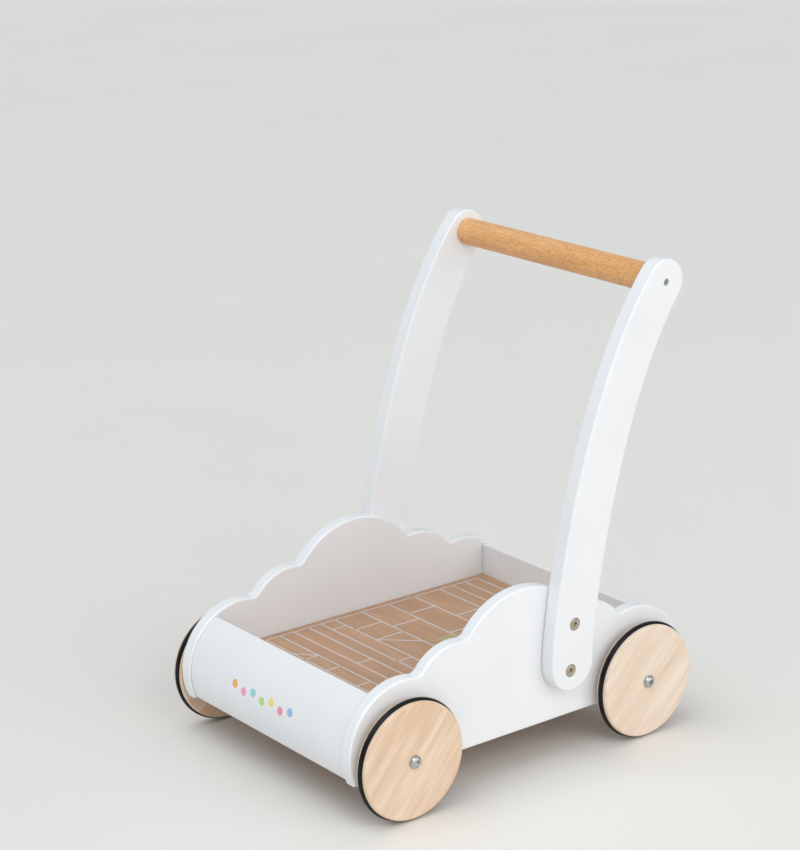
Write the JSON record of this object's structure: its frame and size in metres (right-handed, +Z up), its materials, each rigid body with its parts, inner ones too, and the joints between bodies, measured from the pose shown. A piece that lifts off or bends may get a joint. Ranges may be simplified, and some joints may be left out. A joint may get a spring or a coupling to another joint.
{
  "type": "baby walker",
  "caption": "Wooden push-along baby walker cart with cloud-shaped sides, a shallow tray, rubber-tyred wheels and a bar handle on two curved legs.",
  "frame": {"origin": "on the ground, under the middle of the bounding box", "axes": "+Z up, the front of the cart faces -Y, the left side of a child behind the handle is +X"},
  "size_m": [0.28, 0.3604, 0.42],
  "materials": {
    "white_paint": "satin white paint over wood board",
    "pale_wood": "clear satin lacquer",
    "warm_wood": "clear satin lacquer",
    "board_wood": "natural board with a thin white printed plan of lines",
    "rubber": "smooth black",
    "zinc": "bright zinc plate",
    "bronze": "dark bronze plate",
    "nylon": "plain"
  },
  "bodies": {
    "chassis": {"axle_bolt_front_left": "zinc", "axle_bolt_front_right": "zinc", "axle_bolt_rear_left": "zinc", "axle_bolt_rear_right": "zinc", "axle_nut_front_left": "zinc", "axle_nut_front_right": "zinc", "axle_nut_rear_left": "zinc", "axle_nut_rear_right": "zinc", "axle_spacer_front_left": "nylon", "axle_spacer_front_right": "nylon", "axle_spacer_rear_left": "nylon", "axle_spacer_rear_right": "nylon", "axle_washer_front_left": "zinc", "axle_washer_front_right": "zinc", "axle_washer_rear_left": "zinc", "axle_washer_rear_right": "zinc", "floor_board": "board_wood", "floor_cleat_left": "pale_wood", "floor_cleat_right": "pale_wood", "front_panel": "white_paint", "handle_bar": "warm_wood", "handle_leg_left": "white_paint", "handle_leg_right": "white_paint", "handle_screw_left": "zinc", "handle_screw_right": "zinc", "leg_bolt_high_left": "bronze", "leg_bolt_high_right": "bronze", "leg_bolt_low_left": "bronze", "leg_bolt_low_right": "bronze", "leg_insert_high_left": "bronze", "leg_insert_high_right": "bronze", "leg_insert_low_left": "bronze", "leg_insert_low_right": "bronze", "rear_panel": "white_paint", "side_panel_left": "white_paint", "side_panel_right": "white_paint"},
    "front_left_wheel": {"wheel_front_left": "pale_wood", "tyre_front_left": "rubber"},
    "front_right_wheel": {"wheel_front_right": "pale_wood", "tyre_front_right": "rubber"},
    "rear_left_wheel": {"wheel_rear_left": "pale_wood", "tyre_rear_left": "rubber"},
    "rear_right_wheel": {"wheel_rear_right": "pale_wood", "tyre_rear_right": "rubber"}
  },
  "joints": [
    {"name": "front_left_wheel_spin", "type": "hinge", "parent": "chassis", "child": "front_left_wheel", "pos_m": [0.1305, -0.128, 0.0518], "axis": [1, 0, 0], "continuous": true},
    {"name": "front_right_wheel_spin", "type": "hinge", "parent": "chassis", "child": "front_right_wheel", "pos_m": [-0.1305, -0.128, 0.0518], "axis": [1, 0, 0], "continuous": true},
    {"name": "rear_left_wheel_spin", "type": "hinge", "parent": "chassis", "child": "rear_left_wheel", "pos_m": [0.1305, 0.128, 0.0518], "axis": [1, 0, 0], "continuous": true},
    {"name": "rear_right_wheel_spin", "type": "hinge", "parent": "chassis", "child": "rear_right_wheel", "pos_m": [-0.1305, 0.128, 0.0518], "axis": [1, 0, 0], "continuous": true}
  ]
}
